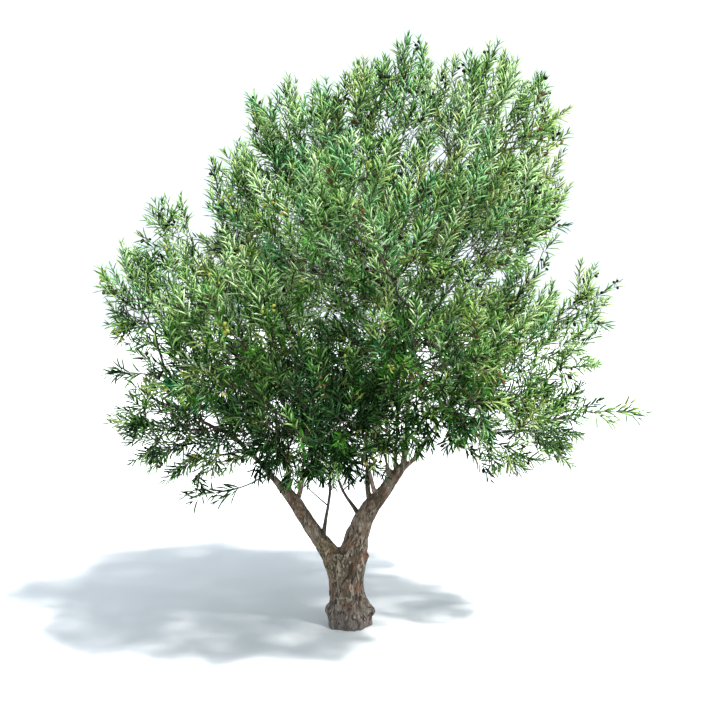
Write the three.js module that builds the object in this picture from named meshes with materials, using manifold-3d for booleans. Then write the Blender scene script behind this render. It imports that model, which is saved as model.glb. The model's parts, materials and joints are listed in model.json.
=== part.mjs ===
// An olive tree about 3.6 m tall: a short forked trunk, its boughs, and the masses of foliage that make
// up a broad, uneven crown. Units are millimetres and +Z is up. The origin is the middle of the flat cut
// at ground level, and the tree's broad side faces -Y.

import * as THREE from "three";
import { mergeVertices } from "three/addons/utils/BufferGeometryUtils.js";
import Module from "manifold-3d";

const wasm = await Module();
wasm.setup();

// ---------------------------------------------------------------- driving dimensions

const GAP = 0.4; // clearance left between two solids that touch

// The trunk, from the ground to its fork: height, middle (x, y), half width, half depth.
const TRUNK = [
  { z: 0, x: 2, y: 0, wide: 132, deep: 128 },
  { z: 55, x: 2, y: 0, wide: 134, deep: 129 },
  { z: 110, x: 0, y: 0, wide: 127, deep: 121 },
  { z: 160, x: -6, y: 0, wide: 116, deep: 110 },
  { z: 210, x: -15, y: 0, wide: 108, deep: 103 },
  { z: 275, x: -21, y: 2, wide: 109, deep: 102 },
  { z: 345, x: -26, y: 4, wide: 118, deep: 104 },
  { z: 395, x: -31, y: 6, wide: 131, deep: 105 },
  { z: 440, x: -32, y: 8, wide: 147, deep: 102 },
  { z: 476, x: -36, y: 8, wide: 140, deep: 88 },
];
const TRUNK_SIDES = 28;
const TRUNK_RINGS = 17;

// Root flare: ridges that run out of the trunk and die away above the ground.
const ROOT_RIDGES = { count: 5, share: 0.07, fade: 95, turn: 0.6 };

// Burrs, the knots that stand out of the trunk: bearing from +X in degrees, height, size, spread.
const BURRS = [
  { bearing: 172, z: 96, out: 34, spread: 38 },
  { bearing: -6, z: 104, out: 40, spread: 34 },
  { bearing: 24, z: 62, out: 16, spread: 40 },
  { bearing: -8, z: 452, out: 20, spread: 26 },
  { bearing: 245, z: 330, out: 9, spread: 36 },
  { bearing: 78, z: 300, out: 12, spread: 45 },
];

// Limbs, each a run of stations from its root inside its parent to its tip: [x, y, z, radius].
const LIMB_SIDES = 9;
const SHOOT_SIDES = 6;
const LIMB_STEP = 68; // length of one ring of facets
const LIMBS = {
  bough_right: {
    sides: 14,
    path: [
      [-2, 4, 350, 74],
      [14, 2, 430, 92],
      [38, -2, 516, 84],
      [46, -6, 570, 73],
      [64, -12, 622, 67],
      [86, -18, 678, 62],
      [112, -24, 732, 58],
      [150, -30, 788, 52],
      [196, -36, 842, 45],
      [238, -40, 892, 39],
      [272, -44, 945, 34],
      [306, -46, 992, 32],
      [336, -46, 1030, 24],
      [346, -46, 1052, 16],
    ],
  },
  bough_left: {
    sides: 14,
    path: [
      [-70, 6, 356, 60],
      [-108, 4, 440, 63],
      [-164, 0, 520, 51],
      [-212, -6, 588, 47],
      [-244, -12, 634, 43],
      [-296, -22, 722, 42],
      [-350, -34, 810, 39],
      [-398, -44, 868, 31],
      [-440, -52, 912, 21],
      [-476, -58, 956, 17],
      [-520, -64, 996, 14],
      [-590, -72, 1040, 12],
      [-668, -80, 1100, 10],
      [-714, -84, 1180, 8],
    ],
  },
  limb_left_rear: {
    path: [
      [-336, -30, 794, 15],
      [-372, -20, 846, 16],
      [-386, 0, 892, 14],
      [-392, 40, 960, 12],
      [-400, 90, 1040, 10],
    ],
  },
  limb_left_inner: {
    path: [
      [-336, -34, 796, 14],
      [-316, -52, 852, 15],
      [-304, -72, 896, 12],
      [-296, -104, 960, 11],
      [-286, -150, 1040, 9],
    ],
  },
  limb_inner_rear: {
    path: [
      [136, -24, 776, 16],
      [122, 2, 840, 17],
      [114, 30, 892, 14],
      [116, 70, 960, 13],
      [112, 130, 1050, 10],
    ],
  },
  limb_inner_front: {
    path: [
      [176, -34, 824, 13],
      [156, -62, 876, 13],
      [144, -90, 922, 11],
      [130, -130, 990, 9],
      [116, -180, 1070, 8],
    ],
  },
  spur: {
    path: [
      [262, -44, 942, 14],
      [246, -46, 982, 15],
      [240, -50, 1020, 13],
      [236, -56, 1046, 10],
    ],
  },
  limb_right_rear: {
    path: [
      [300, -42, 990, 12],
      [287, -20, 1040, 12],
      [296, 0, 1110, 10],
      [308, 24, 1200, 9],
      [318, 60, 1290, 8],
    ],
  },
  limb_right_top: {
    path: [
      [326, -46, 1008, 18],
      [343, -48, 1060, 18],
      [349, -52, 1140, 15],
      [352, -60, 1220, 14],
      [356, -74, 1320, 12],
    ],
  },
  limb_right_outer: {
    path: [
      [340, -46, 1014, 14],
      [378, -52, 1052, 13],
      [418, -62, 1090, 11],
      [448, -70, 1142, 9],
      [500, -84, 1240, 8],
      [570, -100, 1330, 7],
    ],
  },
  shoot_left: {
    sides: SHOOT_SIDES,
    path: [
      [-176, -14, 570, 12],
      [-162, -34, 606, 10],
      [-154, -44, 664, 7],
      [-142, -54, 740, 6],
      [-124, -64, 836, 5.5],
      [-122, -74, 930, 5],
      [-118, -86, 1020, 4.5],
    ],
  },
  shoot_centre: {
    sides: SHOOT_SIDES,
    path: [
      [74, -12, 690, 12],
      [52, -26, 730, 11],
      [10, -40, 795, 7.5],
      [-30, -50, 852, 6.8],
      [-56, -56, 912, 6.2],
      [-76, -60, 988, 6],
      [-96, -66, 1090, 5.5],
    ],
  },
};

// Masses of foliage: middle and half sizes along x, y and z.
const MASS_DETAIL = 3;
const PLAIN_DETAIL = 2; // for the sprays and for masses that little shows of
const UNEVEN = 0.08; // height of the broadest lumps of a mass, as a share of its size
const LUMP_WAVES = 5;
const MASSES = {
  // outline, from the lower left round the top to the lower right
  foliage_left_low: { at: [-970, -60, 1370], size: [450, 520, 400] },
  foliage_left: { at: [-1150, 0, 2125], size: [405, 480, 430], detail: PLAIN_DETAIL },
  foliage_left_crest: { at: [-1080, -40, 2440], size: [205, 330, 270], detail: PLAIN_DETAIL },
  foliage_left_shoulder: { at: [-520, -160, 2560], size: [360, 520, 500] },
  foliage_top_left: { at: [-250, 60, 2970], size: [440, 560, 470], detail: PLAIN_DETAIL },
  foliage_top: { at: [260, 40, 3150], size: [420, 560, 450] },
  foliage_top_right: { at: [865, 0, 3080], size: [490, 560, 515] },
  foliage_right_shoulder: { at: [940, -40, 2600], size: [385, 540, 420] },
  foliage_right_crest: { at: [1450, -30, 2050], size: [205, 330, 250], detail: PLAIN_DETAIL },
  foliage_right: { at: [1150, 0, 1870], size: [450, 500, 430], detail: PLAIN_DETAIL },
  foliage_right_low: { at: [980, -60, 1400], size: [485, 520, 370] },
  // the broad face towards -Y
  foliage_front_left: { at: [-620, -760, 1880], size: [460, 480, 480] },
  foliage_front_low: { at: [-240, -760, 1480], size: [480, 470, 400] },
  foliage_front_right: { at: [480, -780, 1740], size: [500, 500, 470] },
  foliage_front_top: { at: [60, -740, 2460], size: [560, 500, 520] },
  foliage_front_shoulder: { at: [700, -480, 2600], size: [450, 440, 480] },
  // the far side
  foliage_rear_low: { at: [-160, 820, 1460], size: [580, 560, 440], detail: PLAIN_DETAIL },
  foliage_rear_right: { at: [640, 780, 1800], size: [540, 520, 480], detail: PLAIN_DETAIL },
  foliage_rear_left: { at: [-640, 760, 2060], size: [520, 520, 540], detail: PLAIN_DETAIL },
  foliage_rear_top: { at: [40, 780, 2620], size: [560, 520, 520], detail: PLAIN_DETAIL },
  foliage_rear_shoulder: { at: [700, 640, 2560], size: [460, 460, 480], detail: PLAIN_DETAIL },
  // the middle, round the boughs
  foliage_heart_low: { at: [-70, -20, 1345], size: [470, 500, 405], detail: PLAIN_DETAIL },
  foliage_heart_left: { at: [-530, -120, 1425], size: [410, 560, 380], detail: PLAIN_DETAIL },
  foliage_heart: { at: [60, 0, 2150], size: [700, 620, 660], detail: PLAIN_DETAIL },
  // sprays that stand clear of the crown
  spray_left_tip: { at: [-1410, -40, 1610], size: [110, 90, 75], detail: PLAIN_DETAIL },
  spray_left_hanging: { at: [-880, -60, 850], size: [275, 95, 85], detail: PLAIN_DETAIL },
  spray_right: { at: [1710, -40, 1365], size: [255, 95, 95], detail: PLAIN_DETAIL },
};

// ---------------------------------------------------------------- helpers

const DEPTH_AXIS = new THREE.Vector3(0, 1, 0);

// The value that one key of a list of stations has at height z.
function valueAt(stations, key, z) {
  const upper = Math.max(1, stations.findIndex((station) => z <= station.z));
  const [a, b] = [stations[upper - 1], stations[upper]];
  return THREE.MathUtils.mapLinear(z, a.z, b.z, a[key], b[key]);
}

// The vertices of a closed geometry, merged so that only shared positions are left.
function welded(geometry) {
  geometry.deleteAttribute("normal");
  geometry.deleteAttribute("uv");
  return mergeVertices(geometry, 1e-3);
}

// Moves every vertex of a geometry by a function of its place.
function reshape(geometry, move) {
  const place = geometry.getAttribute("position");
  const point = new THREE.Vector3();
  for (let i = 0; i < place.count; i += 1) {
    point.fromBufferAttribute(place, i);
    move(point);
    place.setXYZ(i, point.x, point.y, point.z);
  }
  return geometry;
}

function toSolid(geometry) {
  return new wasm.Manifold(
    new wasm.Mesh({
      numProp: 3,
      vertProperties: new Float32Array(geometry.getAttribute("position").array),
      triVerts: new Uint32Array(geometry.index.array),
    }),
  );
}

function toGeometry(solid) {
  const mesh = solid.getMesh();
  const geometry = new THREE.BufferGeometry();
  geometry.setAttribute("position", new THREE.BufferAttribute(mesh.vertProperties, 3));
  geometry.setIndex(new THREE.BufferAttribute(mesh.triVerts, 1));
  geometry.computeVertexNormals();
  return geometry;
}

// The largest body of a solid that a cut may have left in several.
function largestBody(solid) {
  return solid.decompose().reduce((best, body) => (body.volume() > best.volume() ? body : best));
}

// ---------------------------------------------------------------- wood

// How far the burrs push the trunk's skin out at a bearing and height.
function burrAt(bearing, z, radius) {
  let out = 0;
  for (const burr of BURRS) {
    const turn = Math.atan2(
      Math.sin(bearing - THREE.MathUtils.degToRad(burr.bearing)),
      Math.cos(bearing - THREE.MathUtils.degToRad(burr.bearing)),
    );
    const away = Math.hypot(turn * radius, z - burr.z) / burr.spread;
    out += burr.out * Math.exp(-away * away);
  }
  return out;
}

// The share by which the root flare's ridges widen the trunk at a bearing and height.
function ridgeAt(bearing, z) {
  const { count, share, fade, turn } = ROOT_RIDGES;
  return 1 + share * Math.cos(count * bearing + turn) * Math.exp(-z / fade);
}

function trunkGeometry(grow = 0) {
  const top = TRUNK.at(-1).z;
  const cylinder = welded(new THREE.CylinderGeometry(1, 1, 1, TRUNK_SIDES, TRUNK_RINGS));
  return reshape(cylinder, (p) => {
    const z = (p.y + 0.5) * top;
    const onAxis = Math.hypot(p.x, p.z) < 0.5;
    const bearing = Math.atan2(-p.z, p.x);
    const wide = valueAt(TRUNK, "wide", z);
    const deep = valueAt(TRUNK, "deep", z);
    const out = onAxis ? 0 : burrAt(bearing, z, (wide + deep) / 2) + grow;
    const share = onAxis ? 0 : ridgeAt(bearing, z);
    p.set(
      valueAt(TRUNK, "x", z) + Math.cos(bearing) * (wide * share + out),
      valueAt(TRUNK, "y", z) + Math.sin(bearing) * (deep * share + out),
      z < top ? z : top + grow,
    );
  });
}

function smoothCurve(points) {
  return new THREE.CatmullRomCurve3(points, false, "catmullrom");
}

// A tapering limb: a closed cylinder bent along a curve, its radius eased from station to station.
function limbGeometry({ path, sides = LIMB_SIDES }, grow = 0) {
  const line = smoothCurve(path.map(([x, y, z]) => new THREE.Vector3(x, y, z)));
  const girth = smoothCurve(path.map(([, , , radius]) => new THREE.Vector3(radius, 0, 0)));
  const rings = Math.ceil(line.getLength() / LIMB_STEP);
  const cylinder = welded(new THREE.CylinderGeometry(1, 1, 1, sides, rings));
  return reshape(cylinder, (p) => {
    const t = THREE.MathUtils.clamp(p.y + 0.5, 0, 1);
    const along = line.getTangent(t);
    const across = new THREE.Vector3().crossVectors(DEPTH_AXIS, along).normalize();
    const deep = new THREE.Vector3().crossVectors(along, across);
    const radius = girth.getPoint(t).x + grow;
    const end = (t === 0 ? -grow : 0) + (t === 1 ? grow : 0);
    const { x, z } = p;
    p.copy(line.getPoint(t));
    p.addScaledVector(across, radius * x).addScaledVector(deep, -radius * z);
    p.addScaledVector(along, end);
  });
}

// ---------------------------------------------------------------- foliage

// Repeatable numbers from 0 to 1 for one mass.
function randomFrom(seed) {
  let state = seed * 7919 + 104729;
  return () => {
    state = (state * 16807) % 2147483647;
    return state / 2147483647;
  };
}

// Waves over the sphere that make a mass uneven.
function lumpsOf(seed) {
  const random = randomFrom(seed);
  return Array.from({ length: LUMP_WAVES }, (_, n) => {
    const axis = new THREE.Vector3(random() - 0.5, random() - 0.5, random() - 0.5).normalize();
    return { axis, rate: 4.7 + 2.5 * n, phase: random() * Math.PI * 2, height: 1 / (1 + 0.45 * n) };
  });
}

const masses = Object.entries(MASSES).map(([name, { at, size, detail = MASS_DETAIL }], n) => ({
  name,
  detail,
  middle: new THREE.Vector3(...at),
  half: new THREE.Vector3(...size),
  lumps: lumpsOf(n + 1),
}));

// Distance from a mass's middle to its plain, unlumped surface.
function reach(mass, direction) {
  return 1 / direction.clone().divide(mass.half).length();
}

// The flat faces where a mass meets its neighbours: each is square to the line between two middles, and
// shares that line out by the sizes of the two masses.
function facesOf(mass) {
  return masses
    .filter((other) => other !== mass)
    .map((other) => {
      const towards = other.middle.clone().sub(mass.middle);
      const apart = towards.length();
      towards.normalize();
      const own = reach(mass, towards);
      const theirs = reach(other, towards);
      return { towards, away: (apart * own) / (own + theirs) - GAP / 2 };
    });
}

function massGeometry(mass, grow = 0) {
  const faces = facesOf(mass);
  const ball = welded(new THREE.IcosahedronGeometry(1, mass.detail));
  return reshape(ball, (p) => {
    const direction = p.clone().normalize();
    let wave = 0;
    for (const lump of mass.lumps) {
      wave += lump.height * Math.sin(lump.rate * direction.dot(lump.axis) + lump.phase);
    }
    let out = reach(mass, direction) * (1 + UNEVEN * wave);
    for (const { towards, away } of faces) {
      const lean = direction.dot(towards);
      if (lean > 0) out = Math.min(out, away / lean);
    }
    p.copy(mass.middle).addScaledVector(direction, out + grow);
  });
}

// ---------------------------------------------------------------- materials

const bark = new THREE.MeshStandardMaterial({ color: 0x7b6a58, roughness: 0.9, metalness: 0 });
const youngBark = new THREE.MeshStandardMaterial({ color: 0x6f6456, roughness: 0.85, metalness: 0 });
const leaves = new THREE.MeshStandardMaterial({ color: 0x4f7a3a, roughness: 0.6, metalness: 0 });

// ---------------------------------------------------------------- the tree

const tree = new THREE.Group();

function add(name, geometry, material) {
  const mesh = new THREE.Mesh(geometry, material);
  mesh.name = name;
  tree.add(mesh);
}

for (const mass of masses) add(mass.name, massGeometry(mass), leaves);
add("trunk", trunkGeometry(), bark);

// Each limb is cut back where it leaves the wood made before it and where it enters the foliage.
const woodSoFar = [toSolid(trunkGeometry(GAP))];
const foliage = masses.map((mass) => toSolid(massGeometry(mass, GAP)));
for (const [name, limb] of Object.entries(LIMBS)) {
  let solid = toSolid(limbGeometry(limb));
  for (const cutter of [...woodSoFar, ...foliage]) solid = solid.subtract(cutter);
  add(name, toGeometry(largestBody(solid)), limb.sides === SHOOT_SIDES ? youngBark : bark);
  woodSoFar.push(toSolid(limbGeometry(limb, GAP)));
}

export default tree;
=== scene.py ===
import json
import math
from itertools import product

import bmesh
import bpy
import numpy as np
from mathutils import Euler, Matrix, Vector, noise
from mathutils.bvhtree import BVHTree

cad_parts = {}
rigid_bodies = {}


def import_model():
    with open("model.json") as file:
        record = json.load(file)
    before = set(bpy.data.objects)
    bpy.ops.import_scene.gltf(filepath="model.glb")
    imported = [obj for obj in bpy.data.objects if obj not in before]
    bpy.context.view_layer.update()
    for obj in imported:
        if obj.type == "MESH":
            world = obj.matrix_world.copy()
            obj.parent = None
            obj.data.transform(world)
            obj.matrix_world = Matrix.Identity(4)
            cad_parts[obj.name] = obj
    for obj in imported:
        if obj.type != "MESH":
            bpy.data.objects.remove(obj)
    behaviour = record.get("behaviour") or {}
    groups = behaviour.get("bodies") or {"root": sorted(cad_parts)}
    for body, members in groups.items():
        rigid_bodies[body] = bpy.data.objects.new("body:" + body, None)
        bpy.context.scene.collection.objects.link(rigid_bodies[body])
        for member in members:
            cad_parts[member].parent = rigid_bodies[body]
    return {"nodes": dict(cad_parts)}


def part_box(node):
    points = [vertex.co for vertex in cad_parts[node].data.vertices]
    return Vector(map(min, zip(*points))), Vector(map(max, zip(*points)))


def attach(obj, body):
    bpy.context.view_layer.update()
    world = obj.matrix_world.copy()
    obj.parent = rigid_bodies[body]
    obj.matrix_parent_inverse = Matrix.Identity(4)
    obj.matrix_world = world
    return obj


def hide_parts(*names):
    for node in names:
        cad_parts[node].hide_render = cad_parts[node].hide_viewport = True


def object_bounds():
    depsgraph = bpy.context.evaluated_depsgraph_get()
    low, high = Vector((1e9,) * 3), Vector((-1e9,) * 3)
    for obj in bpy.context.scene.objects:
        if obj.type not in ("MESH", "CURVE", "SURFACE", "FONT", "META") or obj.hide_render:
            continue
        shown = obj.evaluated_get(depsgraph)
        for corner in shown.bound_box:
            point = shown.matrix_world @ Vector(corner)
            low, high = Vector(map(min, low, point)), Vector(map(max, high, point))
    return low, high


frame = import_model()
cad_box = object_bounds()

UP = np.array((0.0, 0.0, 1.0))
MM = 0.001

# ---------------------------------------------------------------- sizes, in metres

# The skin of the old wood.
SKIN_GRID = 4.3 * MM  # edge of the grid that the joined wood is rebuilt on
SKIN_SWELL = 3.6 * MM  # closes the clearance between the pieces, and makes up for what smoothing takes off
SKIN_EASING = 5  # rounds of smoothing
CRACK_SPACING = 29 * MM
CRACK_STRETCH = 2.8  # how many times longer a crack is than it is wide
CRACK_WIDTH = 0.17  # as a share of the noise's height
CRACK_DEPTH = 8 * MM
CRACK_PATCH = 48 * MM  # cracks come and go in patches of this size
SLANT_WAY = (0.42, 0.1, 1.0)  # wider furrows lean across the trunk this way
SLANT_SPACING = 46 * MM
SLANT_STRETCH = 3.0
SLANT_WIDTH = 0.11
SLANT_DEPTH = 9 * MM
SLANT_PATCH = 90 * MM
WANDER_SIZE = 85 * MM
WANDER = 20 * MM  # how far the cracks and furrows stray to the side
SCALE_SPACING = 11 * MM
SCALE_DEPTH = 2.4 * MM
SWELLING_SIZE = 85 * MM
SWELLING_HEIGHT = 9 * MM
FOOT_HEIGHT = 0.16  # of the trunk's foot, which has lumps, and shallower cracks
KNOB_SIZE = 48 * MM
KNOB_HEIGHT = 13 * MM
TRUNK_RELIEF = (1.0, 0.72, 0.6)  # how deeply the trunk and the two boughs are cut
LIMB_RELIEF = 0.28
BARK_BLEND = 6 * MM  # how softly the bark of one limb runs into the next

# The branching rule.
FOLIAGE_FLOOR = 0.8  # lower than this nothing grows
SCAFFOLD_SPACING = 0.36  # between the places that the main limbs make for
SCAFFOLD_DEPTH = 0.30  # how far inside the crown's surface they stay
SCAFFOLD_TRIES = 4000
TWIG_SPACING = 0.082
TWIG_TRIES = 150000
TWIG_SHARE = ((1.4, 2.1), (1.06, 0.74))  # of the places kept: heights, and the share at each
CLUMP_SIZE = 0.26
CLUMPING = 0.44  # how strongly twigs gather in clumps, with sky between them
CLUMP_SHIFT = 4.37  # picks which of the clumps' patterns is used
TWIG_DEPTH = 0.035  # inside the crown's sides and underside
TWIG_DEPTH_TOP = 0.14  # under its top, which the shoots grow up to
HEART_DEPTH = 0.62  # further in than this, few twigs carry leaves
HEART_SHARE = 0.30
STEP = 0.05
KEEPING_ON = 0.45  # how strongly a twig keeps its heading, against the pull of the places it makes for
# How far each limb runs straight on into the foliage, in the order of STARTS.
RUN_ON = [0.25, 0.25, 0.2, 0.25, 0.2, 0.15, 0.35, 0.45, 0.2, 0.2, 0.3]
END_STRETCH = 0.14  # the last stretch of a limb, whose heading its branches take up
END_CAP = 0.03  # and the very end of it, whose girth they take up
END_RADII = (4 * MM, 34 * MM)
TIP_RADIUS = 1.8 * MM
PIPE_POWER = 2.35  # a limb's girth to this power is the sum of its branches' girths to it

# The thin shoots that stand in the fork.
THIN_SHOOT_RADII = ((0, 0.20, 0.45, 1), (24, 14, 9.5, 7.5))  # shares of the length, and millimetres there
BARE_TWIG_LENGTH = 0.20
BARE_TWIG_RADII = (5.0 * MM, 3.2 * MM)

# Leafy shoots.
CROWN_MIDDLE = np.array((0.05, 0.0, 1.75))
THIN_NODE = 5  # a node with more tips than this beyond it is too stout to bear a shoot
SIDE_SHARE = ((1.3, 1.8), (0.50, 0.32))  # of the thin nodes below the tips bear one: heights, and the share
SHOOT_LENGTH = (0.16, 0.32)
SHORTEST_SHOOT = 0.06
SHOOT_STRAY = (0.30, 0.42)  # how far a tip's shoot and a side shoot stray from their heading
SHOOT_RADIUS = 1.4 * MM
SHOOT_TAPER = (1.25, 0.55)
BARE_FOOT = 0.10  # the share of a shoot that has no leaves
PAIR_SPACING = 0.0248  # between one pair of leaves and the next
LEAF_LENGTH = 0.089
LEAF_WIDTH = 0.0108
LENGTH_SPREAD = (0.86, 1.12)
WIDTH_SPREAD = (0.9, 1.12)
LEAF_THICKNESS = 0.9 * MM
LEAF_ANGLE = 48  # degrees between a leaf and its stem, at the shoot's foot
LEAF_CLOSING = 24  # how many degrees less that is at its tip
LEAF_DROOP = 0.07  # how far a leaf's tip bends back, as a share of its length
SPRAY_LEAF = 1.25  # how much longer and wider the leaves of the sprays that stand clear are, and
SPRAY_GAP = 1.4  # how much further apart their pairs
SPRAY_SHADE = 0.22  # and how much darker they are dealt
SPRAY_RADIUS = 5.0 * MM  # of the stem of such a spray
SPRAY_ROOM = 0.03  # kept clear of other shoots round each of those sprays
UNDERSIDE_REACH = 0.30  # shoots this near the crown's underside grow out level or down
BOX_MARGIN = 0.015  # how far past the box of all the masses a shoot's tip may stand
STAND_OUT = (0.02, 0.10)  # how far past the crown's surface a common and a long shoot's tip may stand
LONG_SHARE = 0.22
YOUNG_SHARE = 0.14  # of the outer shoots end in young leaves
YOUNG_LEAVES = 4

# How the leaf tones are dealt out: by how lit a shoot is reckoned to be, which is painted light and shade in
# its leaves' colour, and by how cool it is.
LIGHT_BY_HEIGHT = ((1.3, 1.7, 2.0, 2.4, 3.0), (-0.18, -0.06, 0.09, 0.17, 0.06))
SHADE_BELOW = 0.13
HALF_SHADE_BELOW = 0.30
SUNLIT_ABOVE = 0.66
COOL_ABOVE = 0.42
OLIVE_BELOW = -0.26

# Olives.
OLIVE_LENGTH = 25 * MM
OLIVE_WIDTH = 20 * MM
OLIVE_STALK = 16 * MM
OLIVE_STALK_RADII = np.array((0.7, 0.6)) * MM
OLIVE_RINGS = 4
OLIVE_SIDES = 6
FRUITING_SHARE = 0.36  # of the shoots, before it is raised near the surface and lowered in the shade
FRUITING_BY_DEPTH = ((0.08, 0.30), (1.5, 0.1))
SHADED_FRUITING = 0.3
RIPE_ABOVE = 0.28
TURNING_ABOVE = 0.05

# Light and camera.
SURROUND_COLOUR = (0.86, 0.94, 1.0, 1.0)
SURROUND_STRENGTH = 1.18
SUN_WAY = (1.1, -0.88, 2.4)  # towards the sun: from the right, the front and above
SUN_STRENGTH = 8.5
SUN_COLOUR = (1.0, 0.98, 0.93)
SUN_ANGLE = 6  # degrees across, for the shadow's soft edge
EYE = (0.0352, -6.45, 2.10)
LOOKING_DOWN = 3.3  # degrees
LENS = 52  # millimetres, on a frame 36 mm wide

rng = np.random.default_rng(17)

WOOD = ["trunk", "bough_right", "bough_left"]
LIMBS = [
    "limb_left_rear", "limb_left_inner", "limb_inner_rear", "limb_inner_front",
    "spur", "limb_right_rear", "limb_right_top", "limb_right_outer",
]
SHOOTS = ["shoot_left", "shoot_centre"]
STARTS = ["bough_left"] + LIMBS + SHOOTS  # the wood whose ends reach the foliage
MASSES = sorted(n for n in frame["nodes"] if n.startswith(("foliage", "spray")))
SPRAYS = [n for n in MASSES if n.startswith("spray")]
SPRAY_BOXES = [[np.array(corner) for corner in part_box(n)] for n in SPRAYS]


# ---------------------------------------------------------------- materials

def linear(hex_colour):
    """An sRGB hex colour as linear red, green, blue and alpha."""
    channels = [int(hex_colour[i:i + 2], 16) / 255 for i in (1, 3, 5)]
    return [c / 12.92 if c <= 0.04045 else ((c + 0.055) / 1.055) ** 2.4 for c in channels] + [1.0]


def new_material(name):
    """A material with its Principled shader."""
    material = bpy.data.materials.new(name)
    material.use_nodes = True
    return material, material.node_tree.nodes["Principled BSDF"]


def add_node(material, kind, settings=None, **inputs):
    """A node with its properties set. An input is named, or i and its number, and is a value or a socket."""
    made = material.node_tree.nodes.new(kind)
    for key, value in (settings or {}).items():
        setattr(made, key, value)
    for key, value in inputs.items():
        numbered = key[0] == "i" and key[1:].isdigit()
        socket = made.inputs[int(key[1:]) if numbered else key.replace("_", " ")]
        if isinstance(value, bpy.types.NodeSocket):
            material.node_tree.links.new(value, socket)
        else:
            socket.default_value = value
    return made


def patches(material, place, size, low, high, amount=1.0, swirl=0.0):
    """Patches of that size, from 0 to that amount, with a soft edge where the noise is from low to high."""
    field = add_node(
        material, "ShaderNodeTexNoise",
        Vector=place, Scale=1 / size, Detail=3.0, Distortion=swirl,
    )
    return add_node(
        material, "ShaderNodeMapRange", {"interpolation_type": "SMOOTHSTEP"},
        Value=field.outputs["Fac"], From_Min=low, From_Max=high, To_Max=amount,
    ).outputs["Result"]


def painted(material, ground, layers):
    """The ground colour with each layer's colour laid over it, as far as that layer's share."""
    colour = linear(ground)
    for share, over in layers:
        colour = add_node(
            material, "ShaderNodeMix", {"data_type": "RGBA"}, i0=share, i6=colour, i7=linear(over),
        ).outputs[2]
    return colour


def old_olive_bark():
    """Old olive bark: dull grey-brown, with short dark and pale streaks, some rust and lichen, and painted
    shade in its cracks.
    """
    m, shader = new_material("old_olive_bark")
    place = add_node(m, "ShaderNodeTexCoord").outputs["Object"]
    drawn_out = add_node(m, "ShaderNodeMapping", Vector=place, Scale=(1.0, 1.0, 0.36)).outputs["Vector"]
    # how deep the bark lies in a crack or furrow, where painted shade goes
    crevice_shade = add_node(m, "ShaderNodeAttribute", {"attribute_name": "crevice_shade"}).outputs["Fac"]
    at = add_node(m, "ShaderNodeSeparateXYZ", Vector=place).outputs

    # the dusty foot of the trunk, and the browner boughs
    foot = add_node(m, "ShaderNodeMapRange", Value=at["Z"], From_Min=0.20, From_Max=0.07, To_Max=0.55)
    bough = add_node(m, "ShaderNodeMapRange", Value=at["Z"], From_Min=0.50, From_Max=0.80, To_Max=0.34)

    # lichen grows on the left of the fork and of the left bough's root
    near_fork = add_node(m, "ShaderNodeMapRange", Value=at["Z"], From_Min=0.24, From_Max=0.42)
    below_limbs = add_node(m, "ShaderNodeMapRange", Value=at["Z"], From_Min=0.66, From_Max=0.52, To_Min=0.1)
    left_side = add_node(m, "ShaderNodeMapRange", Value=at["X"], From_Min=0.0, From_Max=-0.11)
    lichen = patches(m, place, 16 * MM, 0.52, 0.64, amount=0.7)
    for bound in (near_fork, below_limbs, left_side):
        lichen = add_node(
            m, "ShaderNodeMath", {"operation": "MULTIPLY"}, i0=lichen, i1=bound.outputs["Result"],
        ).outputs[0]

    colour = painted(m, "#4b4135", [
        (patches(m, drawn_out, 48 * MM, 0.40, 0.62, swirl=1.0), "#72665a"),
        (patches(m, place, 80 * MM, 0.50, 0.62, amount=0.6), "#6d4c38"),  # rust
        (foot.outputs["Result"], "#716b69"),
        (patches(m, drawn_out, 27 * MM, 0.53, 0.62, amount=0.7, swirl=1.6), "#978e81"),  # pale streaks
        (lichen, "#7f7c48"),
        (patches(m, drawn_out, 20 * MM, 0.54, 0.63, amount=0.8, swirl=1.6), "#1f1913"),  # dark streaks
        # painted shade in the cracks and furrows
        (crevice_shade, "#14100c"),
        (bough.outputs["Result"], "#3f3123"),
    ])
    # grain 4 mm wide, coarser than the real one, so that it shows
    grain = add_node(m, "ShaderNodeTexNoise", Vector=drawn_out, Scale=1 / (4 * MM), Detail=4.0)
    bump = add_node(m, "ShaderNodeBump", Height=grain.outputs["Fac"], Strength=0.5, Distance=1.5 * MM)
    m.node_tree.links.new(colour, shader.inputs["Base Color"])
    m.node_tree.links.new(bump.outputs["Normal"], shader.inputs["Normal"])
    shader.inputs["Roughness"].default_value = 0.9
    shader.inputs["Specular IOR Level"].default_value = 0.25
    return m


def young_olive_bark():
    """Young olive bark: smooth, dull grey-brown, a little blotched."""
    m, shader = new_material("young_olive_bark")
    place = add_node(m, "ShaderNodeTexCoord").outputs["Object"]
    colour = painted(m, "#2a231b", [(patches(m, place, 30 * MM, 0.4, 0.6), "#443b30")])
    m.node_tree.links.new(colour, shader.inputs["Base Color"])
    shader.inputs["Roughness"].default_value = 0.85
    shader.inputs["Specular IOR Level"].default_value = 0.3
    return m


def plain(name, colour, roughness, gloss=0.5):
    """A finish with one colour, for the many small things that are told apart by spray."""
    m, shader = new_material(name)
    shader.inputs["Base Color"].default_value = linear(colour)
    shader.inputs["Roughness"].default_value = roughness
    shader.inputs["Specular IOR Level"].default_value = gloss
    return m


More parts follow.
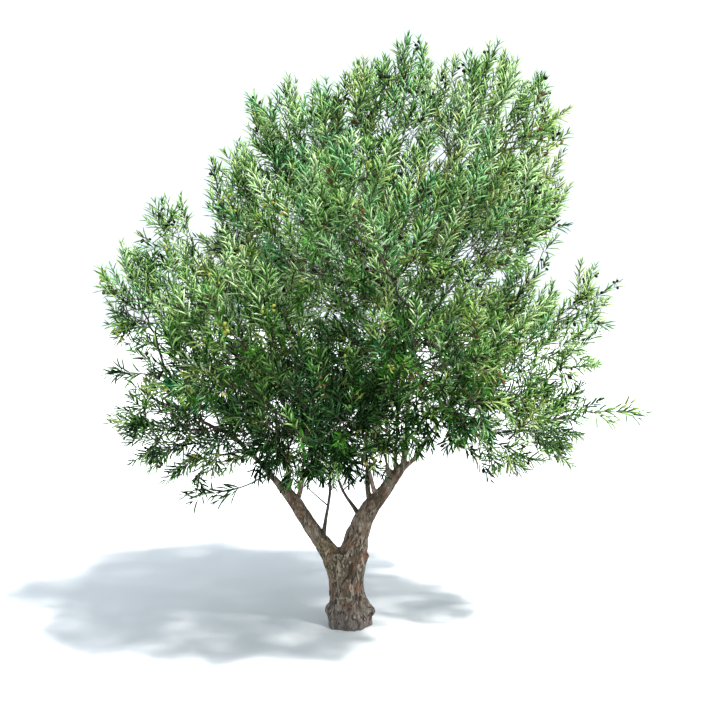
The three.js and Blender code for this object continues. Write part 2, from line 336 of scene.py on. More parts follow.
# Leaf tones: upper side and underside. An olive leaf is waxy above, which gives it a faint sheen, and scaly
# below, which makes it pale and matt. Shoots in the shade get the two darkest tones, which are painted
# shade, and the best-lit shoots a lighter green, which is painted light; the newest leaves are yellowest.
LEAF_TONES = {
    "shade_green": ("#0b240a", "#3a5f37"),
    "deep_green": ("#143510", "#4d7536"),
    "mid_green": ("#285513", "#7ea35e"),
    "cool_green": ("#1b552c", "#74a56e"),
    "olive_green": ("#465a1c", "#9bae6a"),
    "soft_green": ("#437330", "#adc993"),
    "young_green": ("#6e8c3b", "#abc07d"),
}

# The olives, by ripeness. Their skin is smooth, but a faint bloom dulls its shine.
OLIVES = {"ripe": "#19110c", "turning": "#4b3720", "green": "#85883a"}


# ---------------------------------------------------------------- meshes

def alone(*pieces):
    """Selects just these pieces, and makes the first one active."""
    bpy.ops.object.select_all(action="DESELECT")
    for piece in pieces:
        piece.select_set(True)
    bpy.context.view_layer.objects.active = pieces[0]


def mesh_from(name, points, triangles, materials, slots=None):
    """A piece from arrays: points (n, 3), triangles (m, 3), and each triangle's material slot."""
    mesh = bpy.data.meshes.new(name)
    mesh.vertices.add(len(points))
    mesh.vertices.foreach_set("co", np.ascontiguousarray(points, np.float32).ravel())
    mesh.loops.add(3 * len(triangles))
    mesh.loops.foreach_set("vertex_index", np.ascontiguousarray(triangles, np.int32).ravel())
    mesh.polygons.add(len(triangles))
    mesh.polygons.foreach_set("loop_start", np.arange(0, 3 * len(triangles), 3, dtype=np.int32))
    mesh.update(calc_edges=True)
    for material in materials:
        mesh.materials.append(material)
    if slots is not None:
        mesh.polygons.foreach_set("material_index", np.ascontiguousarray(slots, np.int32))
    mesh.validate()
    piece = bpy.data.objects.new(name, mesh)
    bpy.context.scene.collection.objects.link(piece)
    return piece


def merged_copy(node):
    """A bmesh of a node's solid, with its loose triangles joined into one shell."""
    shell = bmesh.new()
    shell.from_mesh(frame["nodes"][node].data)
    bmesh.ops.remove_doubles(shell, verts=shell.verts, dist=0.01 * MM)
    return shell


def unit(vectors):
    """Each vector at a length of one."""
    return vectors / np.maximum(np.linalg.norm(vectors, axis=-1, keepdims=True), 1e-9)


def perlin(points, size):
    """Smooth noise from -1 to 1 at each point, with features of that size."""
    return np.array([noise.noise(Vector(p)) for p in points / size])


# ---------------------------------------------------------------- the old wood

def vertices_of(node):
    """The corners of a node's solid."""
    return np.array([v.co for v in frame["nodes"][node].data.vertices])


def tip_of(node):
    """Where a limb ends inside the foliage: its place, heading and radius."""
    points = vertices_of(node)
    axis = np.linalg.svd(points - points.mean(0), full_matrices=False)[2][0]
    axis = axis * (1 if axis[2] > 0 else -1)
    furthest = points[np.argmax(points @ axis)]
    end = points[np.linalg.norm(points - furthest, axis=1) < END_STRETCH]
    if len(end) > 8:
        end_axis = np.linalg.svd(end - end.mean(0), full_matrices=False)[2][0]
        axis = end_axis * (1 if end_axis @ axis > 0 else -1)
    along = points @ axis
    cap = points[along > along.max() - END_CAP]
    centre = cap.mean(0)
    across = cap - centre
    across -= np.outer(across @ axis, axis)
    return centre, axis, float(np.clip(np.linalg.norm(across, axis=1).mean(), *END_RADII))


def old_wood():
    """Trunk, boughs and limbs as one skin, with swellings, furrows and scales in it."""
    copies = []
    for node in WOOD + LIMBS:
        shell = merged_copy(node)
        for vertex in shell.verts:
            vertex.co += vertex.normal * SKIN_SWELL
        mesh = bpy.data.meshes.new(node + "_copy")
        shell.to_mesh(mesh)
        shell.free()
        piece = bpy.data.objects.new(node + "_copy", mesh)
        bpy.context.scene.collection.objects.link(piece)
        copies.append(piece)
    alone(*copies)
    bpy.ops.object.join()
    skin = bpy.context.object
    skin.name = "old_wood"
    remesh = skin.modifiers.new("rebuild", "REMESH")
    remesh.mode = "VOXEL"
    remesh.voxel_size = SKIN_GRID
    bpy.ops.object.modifier_apply(modifier=remesh.name)
    smooth = skin.modifiers.new("smooth", "SMOOTH")
    smooth.factor = 0.5
    smooth.iterations = SKIN_EASING
    bpy.ops.object.modifier_apply(modifier=smooth.name)
    relief(skin)
    skin.data.materials.clear()
    skin.data.materials.append(old_olive_bark())
    alone(skin)
    bpy.ops.object.shade_smooth()
    return skin


def drawn_along(points, axis, stretch):
    """The points squeezed along an axis, so that noise read there is drawn out along it."""
    return points - np.outer(points @ axis, axis) * (1 - 1 / stretch)


def relief(skin):
    """Moves the skin's vertices in and out along their normals, and notes how deep each lies in a furrow,
    for the shade that is painted there.
    """
    mesh = skin.data
    count = len(mesh.vertices)
    points = np.empty(count * 3, np.float32)
    mesh.vertices.foreach_get("co", points)
    points = points.reshape(-1, 3).astype(float)
    normals = np.empty(count * 3, np.float32)
    mesh.vertices.foreach_get("normal", normals)
    normals = normals.reshape(-1, 3)

    shells = []
    for node in WOOD + LIMBS:
        shell = merged_copy(node)
        shells.append(BVHTree.FromBMesh(shell))
        shell.free()
    away = np.array([[tree.find_nearest(Vector(p))[3] for tree in shells] for p in points])
    share = 1 / (away + BARK_BLEND) ** 2
    share /= share.sum(1, keepdims=True)

    # the relief is shallower on the limbs and higher up
    cut = np.array(list(TRUNK_RELIEF) + [LIMB_RELIEF] * len(LIMBS))
    thick = share @ cut * np.clip(1.25 - 0.55 * points[:, 2], 0.4, 1.0)
    crack = np.zeros(count)
    scale = np.zeros(count)
    wander = WANDER * np.column_stack([perlin(points + shift, WANDER_SIZE) for shift in (0.0, 1.3, 2.9)])
    for index, node in enumerate(WOOD + LIMBS):
        own = share[:, index] > 0.03  # elsewhere this limb's bark has no say
        solid = vertices_of(node)
        axis = np.linalg.svd(solid - solid.mean(0), full_matrices=False)[2][0] if node != "trunk" else UP
        drawn = drawn_along(points[own], axis, CRACK_STRETCH)
        crack[own] += share[own, index] * np.abs(perlin(drawn + wander[own], CRACK_SPACING))
        scale[own] += share[own, index] * perlin(drawn, SCALE_SPACING)
    broken = np.clip(0.75 + 1.6 * perlin(points, CRACK_PATCH), 0, 1)
    deep = np.clip(1 - crack / CRACK_WIDTH, 0, 1) * broken
    slanting = drawn_along(points, unit(np.array(SLANT_WAY)), SLANT_STRETCH)
    slant = np.clip(1 - np.abs(perlin(slanting + wander, SLANT_SPACING)) / SLANT_WIDTH, 0, 1)
    slant *= np.clip(0.3 + 1.8 * perlin(points + 0.7, SLANT_PATCH), 0, 1)
    foot = np.clip(1 - points[:, 2] / FOOT_HEIGHT, 0, 1)
    height = SWELLING_HEIGHT * perlin(points, SWELLING_SIZE) + SCALE_DEPTH * scale
    height += KNOB_HEIGHT * foot * perlin(points + 2.1, KNOB_SIZE)
    height -= (CRACK_DEPTH * deep + SLANT_DEPTH * slant) * (1 - 0.5 * foot)
    deep = np.maximum(deep, slant)
    points += normals * (height * thick)[:, None]
    points[:, 2] = np.maximum(points[:, 2], 0.0)
    mesh.vertices.foreach_set("co", points.astype(np.float32).ravel())
    # the amount of shade to be painted into the bark's colour in each crack and furrow
    crevice_shade = mesh.attributes.new("crevice_shade", "FLOAT", "POINT")
    crevice_shade.data.foreach_set("value", (deep * np.clip(thick * 1.3, 0, 1) * 0.8).astype(np.float32))
    mesh.update()


# ---------------------------------------------------------------- the room that the foliage fills

class Crown:
    """The masses of foliage as one room with a surface."""

    def __init__(self):
        solids = {n: merged_copy(n) for n in MASSES}
        trees = {n: BVHTree.FromBMesh(shell) for n, shell in solids.items()}
        corners, faces = [], []
        for shell in solids.values():
            for face in shell.faces:
                faces.append(tuple(range(len(corners), len(corners) + 3)))
                corners += [v.co.copy() for v in face.verts]
        self.walls = BVHTree.FromPolygons(corners, faces)
        points, triangles = [], []
        for name, shell in solids.items():
            for face in shell.faces:
                middle = face.calc_center_median()
                others = (trees[other].find_nearest(middle, 4 * MM)[0] for other in MASSES if other != name)
                if any(hit is not None for hit in others):
                    continue  # an inner wall, where two masses meet
                first = len(points)
                points += [v.co.copy() for v in face.verts]
                triangles.append((first, first + 1, first + 2))
        self.surface = BVHTree.FromPolygons(points, triangles)
        for shell in solids.values():
            shell.free()

    def depth(self, point):
        """How far a point lies inside the crown's surface, or a negative distance outside it."""
        return self.depth_and_facing(point)[0]

    def depth_and_facing(self, point):
        """The depth, and how far the nearest bit of surface faces up (1) or down (-1)."""
        _, normal, _, far = self.surface.find_nearest(Vector(point))
        return (far if self.holds(point) else -far), normal.z

    def holds(self, point):
        """True if a mass holds the point: the first wall that a ray from there meets is met from behind."""
        ray = Vector((0.36, 0.48, 0.8))  # any slanting way will do
        normal = self.walls.ray_cast(Vector(point), ray)[1]
        return normal is not None and normal.dot(ray) > 0


def in_spray(point):
    """True if a point is in or near the box of a spray that stands clear of the crown."""
    return any(
        ((point > low - SPRAY_ROOM) & (point < high + SPRAY_ROOM)).all()
        for low, high in SPRAY_BOXES
    )


def scattered(crown, spacing, least_depth, top_depth, tries):
    """Places inside the crown, spaced apart, and at least so deep under its sides and its top."""
    low, high = np.array(cad_box[0]), np.array(cad_box[1])
    low[2] = FOLIAGE_FLOOR
    kept = []
    cells = {}
    for point in rng.uniform(low, high, (tries, 3)):
        cell = tuple((point // spacing).astype(int))
        around = product(*((c - 1, c, c + 1) for c in cell))
        near = [cells[key] for key in around if key in cells]
        if in_spray(point) or any(((point - other) ** 2).sum() < spacing ** 2 for other in near):
            continue
        depth, facing = crown.depth_and_facing(point)
        if depth < least_depth + (top_depth - least_depth) * max(0.0, facing):
            continue
        cells[cell] = point
        kept.append(point)
    return np.array(kept)


def thinned(places):
    """The places that twigs grow to: fewer with height, and gathered in clumps."""
    kept_share = np.interp(places[:, 2], *TWIG_SHARE) + CLUMPING * perlin(places + CLUMP_SHIFT, CLUMP_SIZE)
    return places[rng.random(len(places)) < kept_share]


# ---------------------------------------------------------------- the branching rule

class Skeleton:
    """Nodes of wood, each with its parent and heading, that grow towards places to fill."""

    def __init__(self, starts):
        self.places = np.array([s[0] for s in starts])
        self.headings = np.array([s[1] for s in starts])
        self.parents = np.full(len(starts), -1)

    def run_on(self, lengths):
        """Carries each limb straight on into the foliage before it branches."""
        for root, length in enumerate(lengths):
            node, heading = root, self.headings[root]
            for _ in range(int(length / STEP)):
                heading = unit(heading + 0.05 * UP + rng.normal(0, 0.05, 3))
                self.places = np.vstack([self.places, self.places[node] + heading * STEP])
                self.headings = np.vstack([self.headings, heading])
                self.parents = np.append(self.parents, node)
                node = len(self.parents) - 1

    def grow(self, targets, reach, arrive, rounds, lift):
        """Each node steps towards the targets that are nearest to it, and a target is done once reached."""
        nearest = np.zeros(len(targets), int)
        gap = np.full(len(targets), np.inf)
        first = 0
        for _ in range(rounds):
            for start in range(first, len(self.places), 400):
                block = self.places[start:start + 400]
                apart = np.linalg.norm(targets[:, None] - block[None], axis=2)
                closest = apart.argmin(1)
                better = apart[np.arange(len(targets)), closest] < gap
                gap[better] = apart[better, closest[better]]
                nearest[better] = start + closest[better]
            first = len(self.places)
            open_ones = gap > arrive
            pulling = open_ones & (gap < reach)
            if not pulling.any():
                break
            pull = np.zeros((len(self.places), 3))
            np.add.at(pull, nearest[pulling], unit(targets[pulling] - self.places[nearest[pulling]]))
            growing = np.unique(nearest[pulling])
            way = unit(pull[growing]) + KEEPING_ON * self.headings[growing] + lift * UP
            way = unit(way + rng.normal(0, 0.10, way.shape))
            fresh = self.places[growing] + way * STEP
            known = np.linalg.norm(fresh[:, None] - self.places[growing][None], axis=2).min(1) > 0.3 * STEP
            growing, way, fresh = growing[known], way[known], fresh[known]
            # a place already taken by an earlier child would be grown again for ever
            new = np.array([not self.taken(parent, spot) for parent, spot in zip(growing, fresh)], bool)
            stuck = np.isin(nearest, growing[~new]) & pulling
            gap[stuck] = 0
            if not new.any():
                continue
            self.places = np.vstack([self.places, fresh[new]])
            self.headings = np.vstack([self.headings, way[new]])
            self.parents = np.concatenate([self.parents, growing[new]])

    def taken(self, parent, spot):
        """True if a child of the parent already stands on the spot."""
        children = np.flatnonzero(self.parents == parent)
        return len(children) > 0 and np.linalg.norm(self.places[children] - spot, axis=1).min() < 0.35 * STEP

    def finish(self, root_radii):
        """Counts the tips beyond each node, eases kinks, and works out girths."""
        count = len(self.parents)
        self.children = [[] for _ in range(count)]
        for child, parent in enumerate(self.parents):
            if parent >= 0:
                self.children[parent].append(child)
        self.tips = np.zeros(count)
        self.root = np.arange(count)
        for node in range(count):
            if self.parents[node] >= 0:
                self.root[node] = self.root[self.parents[node]]
        for node in range(count - 1, -1, -1):
            self.tips[node] = max(1, self.tips[node])
            if self.parents[node] >= 0:
                self.tips[self.parents[node]] += self.tips[node]
        inner = np.array([len(c) > 0 and p >= 0 for c, p in zip(self.children, self.parents)])
        for _ in range(3):
            eased = self.places.copy()
            for node in np.flatnonzero(inner):
                near = self.places[self.children[node]].mean(0) + self.places[self.parents[node]]
                eased[node] = 0.5 * self.places[node] + 0.25 * near
            self.places = eased
        share = self.tips / self.tips[self.root]
        roots = np.array(root_radii)[self.root]
        self.radii = TIP_RADIUS + (roots - TIP_RADIUS) * share ** (1 / PIPE_POWER)
        starts = np.arange(len(root_radii))
        self.radii[starts] = root_radii


def chains_of(skeleton):
    """The skeleton as runs of nodes: each starts at a fork and follows the thickest branch to a tip."""
    runs = []
    begin = [(root, None) for root in np.flatnonzero(skeleton.parents < 0)]
    while begin:
        node, fork = begin.pop()
        run = [] if fork is None else [fork]
        while node is not None:
            run.append(node)
            ahead = sorted(skeleton.children[node], key=lambda c: -skeleton.tips[c])
            begin += [(child, node) for child in ahead[1:]]
            node = ahead[0] if ahead else None
        runs.append(run)
    return runs


def tube(points, radii, sides):
    """Points and triangles of a closed tube round a run of points."""
    count = len(points)
    tangents = unit(np.gradient(points, axis=0))
    side = np.cross(tangents[0], (0.31, 0.95, 0.11))
    rings = []
    angles = np.arange(sides) * 2 * math.pi / sides
    for i in range(count):
        side = unit(side - (side @ tangents[i]) * tangents[i])
        other = np.cross(tangents[i], side)
        ring = np.outer(np.cos(angles), side) + np.outer(np.sin(angles), other)
        rings.append(points[i] + ring * radii[i])
    shell = np.vstack(rings + [points[:1], points[-1:]])
    a = np.arange(sides)
    b = (a + 1) % sides
    faces = []
    for i in range(count - 1):
        low, high = i * sides, (i + 1) * sides
        faces.append(np.column_stack([low + a, low + b, high + b]))
        faces.append(np.column_stack([low + a, high + b, high + a]))
    start, end = count * sides, count * sides + 1
    last = (count - 1) * sides
    faces.append(np.column_stack([np.full(sides, start), b, a]))
    faces.append(np.column_stack([np.full(sides, end), last + a, last + b]))
    return shell, np.vstack(faces)


def ring_middles(node):
    """The middles of a thin limb's rings, from its root up."""
    points = vertices_of(node)
    points = points[np.argsort(points[:, 2])]
    cuts = np.flatnonzero(np.diff(points[:, 2]) > 14 * MM) + 1
    return np.array([ring.mean(0) for ring in np.split(points, cuts)])


def thin_shoot(node):
    """A thin shoot below the crown, with one fine bare twig on it."""
    line = ring_middles(node)
    first = unit(line[1] - line[0])
    # it starts a little inside its bough and ends a little inside the foliage
    line = np.vstack([line[0] - first * 0.02, line, line[-1] + unit(line[-1] - line[-2]) * 0.03])
    share = np.linspace(0, 1, len(line))
    radii = np.interp(share, *THIN_SHOOT_RADII) * MM
    fork = len(line) // 2
    way_out = math.copysign(0.75, line[0][0])
    twig = bent_run(line[fork], unit(np.array((way_out, 0.0, 0.62))), 0.1 * UP, BARE_TWIG_LENGTH)
    return [tube(line, radii, 8), tube(twig, np.linspace(*BARE_TWIG_RADII, len(twig)), 5)]


def gathered(parts):
    """Several (points, triangles) pairs as one."""
    points, triangles, first = [], [], 0
    for shell, faces in parts:
        points.append(shell)
        triangles.append(faces + first)
        first += len(shell)
    return np.vstack(points), np.vstack(triangles)


def sides_for(radius):
    """How many sides a tube needs: fewer the thinner it is."""
    for least, sides in ((14 * MM, 9), (8 * MM, 7), (4 * MM, 5)):
        if radius > least:
            return sides
    return 3


def branch_tubes(skeleton, starts):
    """Tubes for the whole skeleton, the first of each root reaching back into its limb."""
    parts = []
    for run in chains_of(skeleton):
        points = skeleton.places[run]
        radii = skeleton.radii[run].copy()
        if skeleton.parents[run[0]] < 0 and run[0] < len(starts):
            centre, heading, radius = starts[run[0]]
            points = np.vstack([centre - heading * 0.05, points])
            radii = np.concatenate([[radius * 0.8], radii])
        else:
            radii[0] = min(radii[0], radii[1] * 1.3)
        if len(points) < 2:
            continue
        parts.append(tube(points, radii, sides_for(radii[1])))
    return parts


# ---------------------------------------------------------------- leafy shoots

def shoot_starts(skeleton):
    """Where leafy shoots leave the twigs: each tip, and many of the thin nodes below it."""
    starts = []
    for node in range(len(skeleton.parents)):
        if skeleton.tips[node] > THIN_NODE:
            continue
        is_tip = not skeleton.children[node]
        if not is_tip and rng.random() > np.interp(skeleton.places[node][2], *SIDE_SHARE):
            continue
        starts.append((node, is_tip))
    return starts


def outward(point):
    """The way out of the crown at a point, flattened a little towards level."""
    way = (point - CROWN_MIDDLE) * (1.0, 1.15, 0.8)
    return way / max(np.linalg.norm(way), 1e-6)


def in_box(point):
    """True if a point is inside the box of all the solids, or hardly past it."""
    low, high = np.array(cad_box[0]) - BOX_MARGIN, np.array(cad_box[1]) + BOX_MARGIN
    return (point > low).all() and (point < high).all()


def make_shoots(skeleton, crown):
    """The run of points of every leafy shoot."""
    shoots = []
    for node, is_tip in shoot_starts(skeleton):
        base = skeleton.places[node]
        depth, facing = crown.depth_and_facing(base)
        if depth > HEART_DEPTH and rng.random() > HEART_SHARE:
            continue
        # a shoot turns up to the light, but from the crown's underside it grows out level or hangs
        under = np.clip(-1.6 * facing, 0, 1) * np.clip(1.3 - depth / UNDERSIDE_REACH, 0, 1)
        way = 0.55 * skeleton.headings[node] + 0.55 * outward(base) + (0.75 - 0.85 * under) * UP
        way = unit(way + rng.normal(0, SHOOT_STRAY[0 if is_tip else 1], 3))
        bend = (0.35 - 0.45 * under) * UP + rng.normal(0, 0.16, 3)
        stand_out = STAND_OUT[int(rng.random() < LONG_SHARE)]
        length = rng.uniform(*SHOOT_LENGTH)
        for _ in range(6):  # shorter and shorter, until it fits
            points = bent_run(base, way, bend, length)
            if crown.depth(points[-1]) > -stand_out and in_box(points[-1]):
                break
            length *= 0.8
        if length < SHORTEST_SHOOT or not in_box(points[-1]):
            continue
        if in_spray(points[-1]) or in_spray(points[-2]):
            continue
        shoots.append({"points": points, "length": length, "depth": depth, "base": base})
    return shoots


def bent_run(base, way, bend, length, count=5):
    """Points along a shoot that starts one way and bends towards another."""
    points = [base]
    step = length / (count - 1)
    heading = way
    for _ in range(count - 1):
        heading = unit(heading + bend / (count - 1))
        points.append(points[-1] + heading * step)
    return np.array(points)


LEAF_POINTS = np.array([
    # along, across, up: base, edges, tip, middle of the upper side, middle of the underside
    (0.00, 0.0, 0.0),
    (0.30, 1.0, 0.05),
    (0.66, 0.86, 0.05),
    (1.00, 0.0, -0.02),
    (0.66, -0.86, 0.05),
    (0.30, -1.0, 0.05),
    (0.48, 0.0, 0.0),
    (0.48, 0.0, -1.0),
])
UPPER, UNDER = 6, 7
RIM = [0, 1, 2, 3, 4, 5]
LEAF_FACES = np.array(
    [(UPPER, RIM[i - 1], RIM[i]) for i in range(6)] + [(UNDER, RIM[i], RIM[i - 1]) for i in range(6)]
)


def leaf_meshes(bases, axes, normals, lengths, widths):
    """Points and triangles of closed, folded leaves; six triangles above and six below."""
    count = len(bases)
    normals = unit(normals - (normals * axes).sum(1, keepdims=True) * axes)
    sides = np.cross(axes, normals)
    along, across, up = LEAF_POINTS[:, 0], LEAF_POINTS[:, 1], LEAF_POINTS[:, 2]
    points = bases[:, None] + axes[:, None] * (along[None, :, None] * lengths[:, None, None])
    points += sides[:, None] * (across[None, :, None] * widths[:, None, None] / 2)
    lift = np.where(up[None] < -0.5, -LEAF_THICKNESS, up[None] * lengths[:, None])
    lift = lift - (along[None] ** 2) * lengths[:, None] * LEAF_DROOP
    points += normals[:, None] * lift[:, :, None]
    faces = LEAF_FACES[None] + (np.arange(count) * len(LEAF_POINTS))[:, None, None]
    return points.reshape(-1, 3), faces.reshape(-1, 3)


def leaves_on(shoot):
    """Base, axis, upper side, length and width of each leaf, in pairs that turn by a quarter each time."""
    points, leafy_from = shoot["points"], shoot.get("from", BARE_FOOT)
    gap, longer = (SPRAY_GAP, SPRAY_LEAF) if "from" in shoot else (1.0, 1.0)
    pairs = max(2, int(shoot["length"] * (1.1 - leafy_from) / (PAIR_SPACING * gap)))
    turn = rng.uniform(0, math.pi)
    leaves = []
    for pair in range(pairs + 1):
        t = leafy_from + (1 - leafy_from) * pair / pairs
        spot = t * (len(points) - 1)
        i = min(int(spot), len(points) - 2)
        base = points[i] + (points[i + 1] - points[i]) * (spot - i)
        stem = unit(points[i + 1] - points[i])
        side = unit(np.cross(stem, UP if abs(stem[2]) < 0.9 else np.array((1.0, 0.0, 0.0))))
        other = np.cross(stem, side)
        turn += math.pi / 2 + rng.normal(0, 0.25)
        spread = math.radians(LEAF_ANGLE - LEAF_CLOSING * t + rng.normal(0, 7))
        # leaves are longest towards the middle of a shoot and shortest at its tip
        grown = 0.72 + 0.5 * math.sin(math.pi * min(1.0, 0.18 + 0.72 * t)) - 0.22 * t
        for half in (0, math.pi):
            bearing = turn + half + rng.normal(0, 0.12)
            away = math.cos(bearing) * side + math.sin(bearing) * other
            axis = unit(math.cos(spread) * stem + math.sin(spread) * away + rng.normal(0, 0.06, 3))
            upper = stem + 0.55 * UP + rng.normal(0, 0.25, 3)
            size = longer * LEAF_LENGTH * grown * rng.uniform(*LENGTH_SPREAD)
            width = longer * LEAF_WIDTH * (0.6 + 0.4 * grown) * rng.uniform(*WIDTH_SPREAD)
            leaves.append((base, axis, upper, size, width))
    return leaves


def spray_shoots(node, wood):
    """A spray that stands clear: a long leafy stem from the nearest wood, with three side shoots."""
    low, high = (np.array(corner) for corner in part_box(node))
    width = high[0] - low[0]
    middle = (low + high) / 2
    way_out = np.array((math.copysign(1.0, middle[0]), 0.0, 0.0))
    near = middle - way_out * width * 0.5
    far = middle + way_out * width * 0.34
    root = wood[np.argmin(np.linalg.norm(wood - near, axis=1))]
    # the stem bends from the wood to the inner end of the spray's box, and on to near its outer end
    t = np.linspace(0, 1, 12)[:, None]
    line = (1 - t) ** 2 * root + 2 * t * (1 - t) * (near + 0.02 * UP) + t ** 2 * far
    line[1:] += rng.normal(0, 0.004, (11, 3))
    runs = [line]
    # each side shoot's place on the stem, how it leans up or down, and its length as a share of the spray's
    for place, lean, share in ((5, -0.70, 0.30), (8, 0.60, 0.22), (9, -0.50, 0.20)):
        heading = unit(line[place + 1] - line[place])
        way = unit(heading + lean * UP + rng.normal(0, 0.15, 3))
        runs.append(bent_run(line[place], way, 0.25 * way_out, width * share))
    shoots = []
    for points in runs:
        length = np.linalg.norm(np.diff(points, axis=0), axis=1).sum()
        leafy_from, radius = (0.45, SPRAY_RADIUS) if points is line else (BARE_FOOT, SPRAY_RADIUS / 2)
        shoots.append({"points": points, "length": length, "depth": 0.0, "base": points[-1],
                       "from": leafy_from, "radius": radius})
    return shoots


def tone_of(shoot):
    """The leaf tone of a whole shoot, with light and shade painted in: by how far out and how high it is, by
    neighbourhood, and by chance.
    """
    base, depth = shoot["base"], shoot["depth"]
    # painted light and shade: lighter high up, to the right towards the sun and near the surface,
    # and darkest under the middle of the crown, where the crown's own shade falls
    under_the_middle = math.exp(-((base[0] + 0.15) / 0.6) ** 2) * np.clip((2.0 - base[2]) / 0.6, 0, 1)
    light = 0.55 + 0.06 * base[0] + np.interp(base[2], *LIGHT_BY_HEIGHT) - 0.30 * under_the_middle
    light -= 0.45 * np.clip(depth, 0, 0.6) + (SPRAY_SHADE if "from" in shoot else 0.0)
    light += 0.20 * noise.noise(Vector(base / 0.42)) + rng.normal(0, 0.22)
    # cooler in the upper middle
    upper_middle = math.exp(-((base[0] + 0.1) / 0.7) ** 2) * np.clip((base[2] - 1.6) / 0.7, 0, 1)
    cool = 0.22 * upper_middle + 0.3 * noise.noise(Vector(base / 0.33 + 9.0)) + rng.normal(0, 0.30)
    # the shoots reckoned darkest get the painted shade tones, and the best-lit ones the painted light tone
    if light < SHADE_BELOW:
        return "shade_green"
    if light < HALF_SHADE_BELOW:
        return "deep_green"
    if cool > COOL_ABOVE:
        return "cool_green"
    if cool < OLIVE_BELOW:
        return "olive_green"
    return "soft_green" if light > SUNLIT_ABOVE else "mid_green"


def foliage(skeleton, crown, wood):
    """Leaves by tone, the shoots' stems, and the olives."""
    shoots = make_shoots(skeleton, crown)
    for node in SPRAYS:
        shoots += spray_shoots(node, wood)
    by_tone = {tone: [] for tone in LEAF_TONES}
    stems, fruit = [], {kind: [] for kind in OLIVES}
    for shoot in shoots:
        tone = tone_of(shoot)
        leaves = leaves_on(shoot)
        shaded = tone in ("shade_green", "deep_green")
        can_be_young = not shaded and shoot["depth"] < 0.25
        fresh = YOUNG_LEAVES if can_be_young and rng.random() < YOUNG_SHARE else 0
        by_tone[tone] += leaves[:len(leaves) - fresh]
        if fresh:
            by_tone["young_green"] += leaves[-fresh:]
        radii = shoot.get("radius", SHOOT_RADIUS) * np.linspace(*SHOOT_TAPER, len(shoot["points"]))
        stems.append(tube(shoot["points"], radii, sides_for(radii[0])))
        # fruit comes in some parts of the crown more than in others
        fruiting = FRUITING_SHARE * (1 + 2.2 * noise.noise(Vector(shoot["base"] / 0.5 + 4.0)))
        fruiting *= np.interp(shoot["depth"], *FRUITING_BY_DEPTH) * (SHADED_FRUITING if shaded else 1.0)
        if "from" not in shoot and rng.random() < fruiting:
            fruit_on(shoot, fruit, stems)
    return by_tone, stems, fruit


def fruit_on(shoot, fruit, stems):
    """A cluster or two of olives of one ripeness that hang on short stalks from a shoot."""
    ripeness = 0.35 + 0.7 * noise.noise(Vector(shoot["base"] / 0.6 + 2.0)) + rng.normal(0, 0.25)
    kind = "ripe" if ripeness > RIPE_ABOVE else "turning" if ripeness > TURNING_ABOVE else "green"
    for _ in range(rng.integers(1, 3)):
        t = rng.uniform(0.45, 0.97) * (len(shoot["points"]) - 1)
        i = int(t)
        base = shoot["points"][i] + (shoot["points"][i + 1] - shoot["points"][i]) * (t - i)
        for _ in range(rng.integers(1, 4)):
            way = unit(rng.normal(0, 0.7, 3) - 0.35 * UP)
            hang = base + way * OLIVE_STALK
            stems.append(tube(np.array([base, hang]), OLIVE_STALK_RADII, 3))
            fruit[kind].append((hang + way * OLIVE_LENGTH / 2, way, rng.uniform(0.85, 1.12)))


def olive_shape():
    """Unit olive along +Z: rings between two poles."""
    points = [(0.0, 0.0, -0.5)]
    for ring in range(1, OLIVE_RINGS):
        tilt = math.pi * ring / OLIVE_RINGS
        out = 0.5 * math.sin(tilt)
        for side in range(OLIVE_SIDES):
            bearing = 2 * math.pi * side / OLIVE_SIDES
            points.append((out * math.cos(bearing), out * math.sin(bearing), -0.5 * math.cos(tilt)))
    points.append((0.0, 0.0, 0.5))
    top = len(points) - 1
    last = 1 + (OLIVE_RINGS - 2) * OLIVE_SIDES
    faces = []
    for side in range(OLIVE_SIDES):
        after = (side + 1) % OLIVE_SIDES
        faces.append((0, 1 + after, 1 + side))
        for ring in range(OLIVE_RINGS - 2):
            low, high = 1 + ring * OLIVE_SIDES, 1 + (ring + 1) * OLIVE_SIDES
            faces.append((low + side, low + after, high + after))
            faces.append((low + side, high + after, high + side))
        faces.append((last + side, last + after, top))
    return np.array(points), np.array(faces)


def olives(name, places, material):
    """One piece with all the olives of a kind."""
    shape, faces = olive_shape()
    parts = []
    for middle, way, size in places:
        side = unit(np.cross(way, (0.2, 0.9, 0.4)))
        other = np.cross(way, side)
        spread = shape[:, :1] * side + shape[:, 1:2] * other
        points = middle + size * (spread * OLIVE_WIDTH + shape[:, 2:] * way * OLIVE_LENGTH)
        parts.append((points, faces))
    piece = mesh_from(name, *gathered(parts), [material])
    alone(piece)
    bpy.ops.object.shade_smooth()
    return piece


# ---------------------------------------------------------------- the tree

def place_piece(piece, nodes):
    """Ties a finished piece to the tree's one body, and hides the nodes it takes the place of."""
    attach(piece, "root")
    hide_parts(*nodes)


crown = Crown()
skin = old_wood()
place_piece(skin, WOOD + LIMBS)

starts = [tip_of(node) for node in STARTS]
skeleton = Skeleton(starts)
skeleton.run_on(RUN_ON)
# main limbs first, which make for places far apart, and then twigs, which fill the room between
scaffold = scattered(crown, SCAFFOLD_SPACING, SCAFFOLD_DEPTH, SCAFFOLD_DEPTH, SCAFFOLD_TRIES)
skeleton.grow(scaffold, reach=9.0, arrive=0.2, rounds=90, lift=0.10)
fine = thinned(scattered(crown, TWIG_SPACING, TWIG_DEPTH, TWIG_DEPTH_TOP, TWIG_TRIES))
skeleton.grow(fine, reach=0.6, arrive=0.075, rounds=70, lift=0.22)
skeleton.finish([s[2] for s in starts])

young_bark = young_olive_bark()
branches = mesh_from("branches", *gathered(branch_tubes(skeleton, starts)), [young_bark])
place_piece(branches, MASSES)

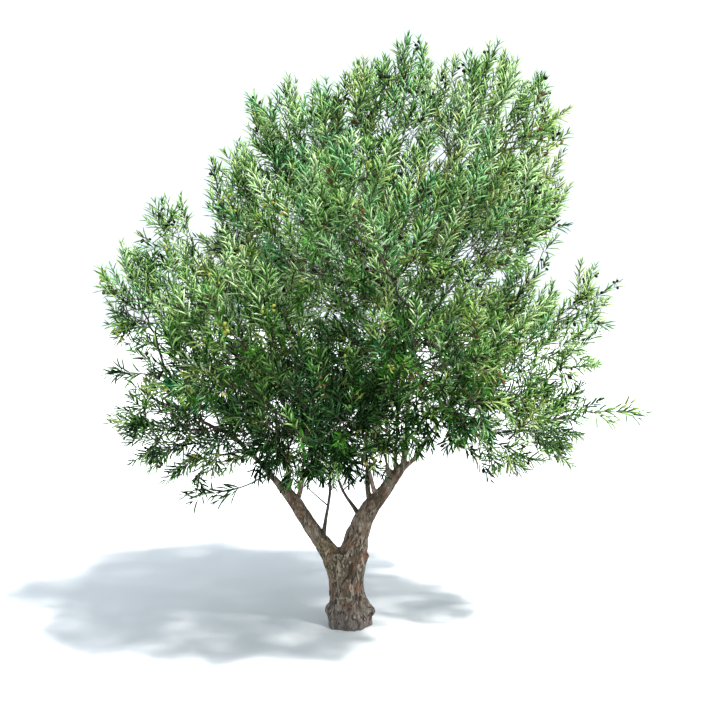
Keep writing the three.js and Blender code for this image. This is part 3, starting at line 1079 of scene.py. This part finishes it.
thin = [part for node in SHOOTS for part in thin_shoot(node)]
thin_shoots = mesh_from("thin_shoots", *gathered(thin), [young_bark])
place_piece(thin_shoots, SHOOTS)

wood = np.vstack([skeleton.places, vertices_of("bough_left")])
by_tone, stems, fruit = foliage(skeleton, crown, wood)
stem_bark = plain("green_shoot_bark", "#4f4c33", 0.7)  # this year's bark: smooth, dull olive-brown
shoot_stems = mesh_from("shoot_stems", *gathered(stems), [stem_bark])
place_piece(shoot_stems, MASSES)

for tone, (upper_colour, under_colour) in LEAF_TONES.items():
    bases, axes, uppers, lengths, widths = (np.array(column) for column in zip(*by_tone[tone]))
    points, faces = leaf_meshes(bases, axes, uppers, lengths, widths)
    slots = np.tile([0] * 6 + [1] * 6, len(bases))
    upper = plain("leaf_" + tone, upper_colour, 0.45, gloss=0.05)
    under = plain("leaf_underside_" + tone, under_colour, 0.8, gloss=0.02)
    piece = mesh_from("leaves_" + tone, points, faces, [upper, under], slots)
    place_piece(piece, MASSES)

for ripeness, colour in OLIVES.items():
    skin_of_olive = plain(ripeness + "_olive_skin", colour, 0.35, gloss=0.12)
    place_piece(olives("olives_" + ripeness, fruit[ripeness], skin_of_olive), MASSES)


# ---------------------------------------------------------------- floor, light and camera

def studio():
    """A pale floor, an even white surround and a soft sun from the upper right."""
    bpy.ops.object.select_all(action="DESELECT")
    bpy.ops.mesh.primitive_circle_add(radius=60, vertices=96, fill_type="NGON", location=(0, 0, -0.5 * MM))
    floor = bpy.context.object
    floor.name = "floor"
    floor.data.materials.append(plain("matt_white_floor", "#cfd2d6", 0.9))  # painted board, with no shine

    world = bpy.data.worlds.new("white surround")
    world.use_nodes = True
    background = world.node_tree.nodes["Background"]
    background.inputs["Color"].default_value = SURROUND_COLOUR
    background.inputs["Strength"].default_value = SURROUND_STRENGTH
    bpy.context.scene.world = world

    bpy.ops.object.light_add(type="SUN", location=(3, -3, 6))
    sun = bpy.context.object
    sun.data.energy = SUN_STRENGTH
    sun.data.angle = math.radians(SUN_ANGLE)
    sun.data.color = SUN_COLOUR
    sun.rotation_euler = Vector(SUN_WAY).to_track_quat("Z", "Y").to_euler()


def camera():
    """A camera at eye height, looking a little down at the tree's broad side."""
    data = bpy.data.cameras.new("camera")
    data.lens = LENS
    data.sensor_width = 36
    data.clip_end = 200
    eye = bpy.data.objects.new("camera", data)
    eye.location = EYE
    eye.rotation_euler = Euler((math.radians(90 - LOOKING_DOWN), 0, 0))
    bpy.context.scene.collection.objects.link(eye)
    bpy.context.scene.camera = eye


studio()
camera()
bpy.context.scene.view_settings.view_transform = "Standard"
